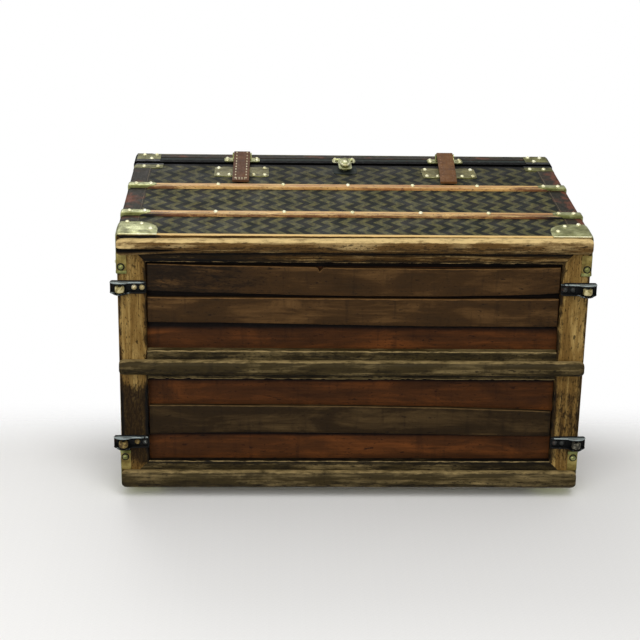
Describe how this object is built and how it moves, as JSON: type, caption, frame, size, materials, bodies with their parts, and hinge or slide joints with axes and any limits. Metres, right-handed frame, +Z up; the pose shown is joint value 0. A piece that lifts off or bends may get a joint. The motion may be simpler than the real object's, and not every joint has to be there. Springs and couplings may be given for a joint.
{
  "type": "dome top trunk",
  "caption": "Dome top travelling trunk with beech slats, brass fittings, lid straps, hasp, end handles, and a rounded runner base on small castors.",
  "frame": {"origin": "middle of the footprint, on the floor under the castor rollers", "axes": "+Z up, -Y towards the front with the hasp and straps, +X to the right seen from the front"},
  "size_m": [0.889, 0.5296, 0.7043],
  "materials": {
    "coated_canvas": "wooden case covered with dark patterned coated canvas",
    "cloth_lining": "plain aged linen lining",
    "blackened_iron": "worn black edging with brass corner caps",
    "pale_beech": "bare worn beech",
    "worn_beech": "rubbed dirty beech",
    "dark_board": "dark stained board",
    "honey_beech": "varnished beech",
    "aged_brass": "aged lacquered brass",
    "castor_iron": "black iron with bright worn rivets",
    "worn_steel": "worn metal",
    "strap_leather": "stitched red brown leather"
  },
  "bodies": {
    "body": {"body_carcass": "coated_canvas", "body_lining": "cloth_lining", "body_rim": "blackened_iron", "frame_front_rail": "pale_beech", "frame_back_rail": "pale_beech", "frame_left_stile": "pale_beech", "frame_right_stile": "pale_beech", "frame_middle_rail": "worn_beech", "runner_front": "worn_beech", "runner_middle": "worn_beech", "runner_back": "worn_beech", "bottom_board_front": "dark_board", "bottom_board_second": "dark_board", "bottom_board_rear": "dark_board", "slat_front_upper": "honey_beech", "slat_front_lower": "honey_beech", "slat_back_upper": "honey_beech", "slat_back_lower": "honey_beech", "slat_left_upper": "honey_beech", "slat_left_lower": "honey_beech", "slat_right_upper": "honey_beech", "slat_right_lower": "honey_beech", "corner_front_left": "aged_brass", "castor_fork_front_left": "castor_iron", "corner_front_right": "aged_brass", "castor_fork_front_right": "castor_iron", "corner_back_left": "aged_brass", "castor_fork_back_left": "castor_iron", "corner_back_right": "aged_brass", "castor_fork_back_right": "castor_iron", "hinge_body_left": "aged_brass", "keeper_plate_left": "aged_brass", "handle_loop_left_front": "aged_brass", "handle_loop_left_back": "aged_brass", "hinge_body_right": "aged_brass", "keeper_plate_right": "aged_brass", "handle_loop_right_front": "aged_brass", "handle_loop_right_back": "aged_brass", "lock_plate": "aged_brass"},
    "lid": {"lid_shell": "coated_canvas", "lid_lining": "cloth_lining", "lid_edge": "blackened_iron", "lid_slat_front": "honey_beech", "lid_slat_top": "honey_beech", "lid_slat_back": "honey_beech", "hinge_lid_left": "aged_brass", "hinge_lid_right": "aged_brass", "strap_bracket_left": "aged_brass", "strap_bracket_right": "aged_brass", "hasp_plate": "aged_brass"},
    "left_strap": {"strap_left": "strap_leather"},
    "right_strap": {"strap_right": "strap_leather"},
    "hasp_flap": {"hasp": "aged_brass"},
    "left_handle": {"handle_left": "strap_leather"},
    "right_handle": {"handle_right": "strap_leather"},
    "roller_front_left": {"castor_roller_front_left": "worn_steel"},
    "roller_front_right": {"castor_roller_front_right": "worn_steel"},
    "roller_back_left": {"castor_roller_back_left": "worn_steel"},
    "roller_back_right": {"castor_roller_back_right": "worn_steel"}
  },
  "joints": [
    {"name": "lid_hinge", "type": "hinge", "parent": "body", "child": "lid", "pos_m": [0, 0.25269, 0.501], "axis": [-1, 0, 0], "range_deg": [0, 100]},
    {"name": "left_strap_swing", "type": "hinge", "parent": "lid", "child": "left_strap", "pos_m": [-0.208, -0.25781, 0.53], "axis": [-1, 0, 0], "range_deg": [0, 150]},
    {"name": "right_strap_swing", "type": "hinge", "parent": "lid", "child": "right_strap", "pos_m": [0.208, -0.25781, 0.53], "axis": [-1, 0, 0], "range_deg": [0, 150]},
    {"name": "hasp_swing", "type": "hinge", "parent": "lid", "child": "hasp_flap", "pos_m": [0, -0.25351, 0.5098], "axis": [-1, 0, 0], "range_deg": [0, 140]},
    {"name": "left_handle_swing", "type": "hinge", "parent": "body", "child": "left_handle", "pos_m": [-0.437, 0.00019, 0.262], "axis": [0, 1, 0], "range_deg": [0, 110]},
    {"name": "right_handle_swing", "type": "hinge", "parent": "body", "child": "right_handle", "pos_m": [0.437, 0.00019, 0.262], "axis": [0, -1, 0], "range_deg": [0, 110]},
    {"name": "roller_front_left_spin", "type": "hinge", "parent": "body", "child": "roller_front_left", "pos_m": [-0.42, -0.14781, 0.0085], "axis": [0, 1, 0], "continuous": true},
    {"name": "roller_front_right_spin", "type": "hinge", "parent": "body", "child": "roller_front_right", "pos_m": [0.42, -0.14781, 0.0085], "axis": [0, 1, 0], "continuous": true},
    {"name": "roller_back_left_spin", "type": "hinge", "parent": "body", "child": "roller_back_left", "pos_m": [-0.42, 0.15519, 0.0085], "axis": [0, 1, 0], "continuous": true},
    {"name": "roller_back_right_spin", "type": "hinge", "parent": "body", "child": "roller_back_right", "pos_m": [0.42, 0.15519, 0.0085], "axis": [0, 1, 0], "continuous": true}
  ]
}
